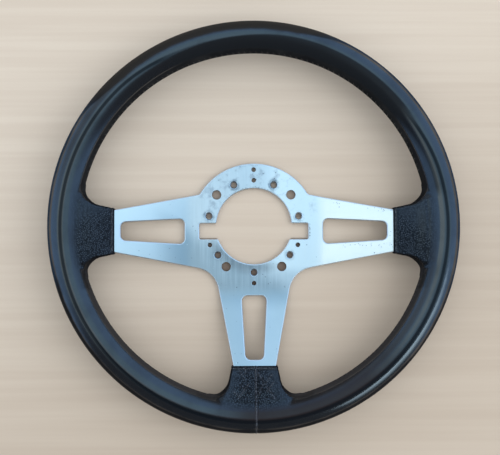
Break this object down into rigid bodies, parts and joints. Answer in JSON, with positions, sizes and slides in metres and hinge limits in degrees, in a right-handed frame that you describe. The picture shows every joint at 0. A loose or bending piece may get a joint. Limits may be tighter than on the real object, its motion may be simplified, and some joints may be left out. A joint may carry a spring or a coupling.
{
  "type": "steering wheel",
  "caption": "Round three-spoke sports steering wheel: leather-covered rim and spoke boots on a folded aluminium spoke plate with an open hub bore, two notches and screw holes.",
  "frame": {"origin": "centre of the hub bore at the hub's back face", "axes": "+Z out of the wheel's face towards the driver, +Y to the top of the wheel, +X to its right as the driver sees it"},
  "size_m": [0.36, 0.36, 0.0405],
  "materials": {
    "spoke_plate": "satin brushed, worn",
    "steel": "plain mild steel, hidden",
    "rivets": "plain",
    "foam": "moulded firm polyurethane, hidden",
    "leather": "black, grained, polished by use on the rim",
    "thread": "waxed thread"
  },
  "bodies": {
    "root": {"spoke_plate": "spoke_plate", "rim_hoop": "steel", "left_lug": "steel", "right_lug": "steel", "lower_lug": "steel", "left_rivets": "rivets", "right_rivets": "rivets", "lower_rivets": "rivets", "rim_foam": "foam", "rim_leather": "leather", "upper_rim_stitching": "thread", "lower_left_rim_stitching": "thread", "lower_right_rim_stitching": "thread", "left_boot_stitching": "thread", "right_boot_stitching": "thread", "lower_boot_stitching": "thread"}
  },
  "joints": []
}
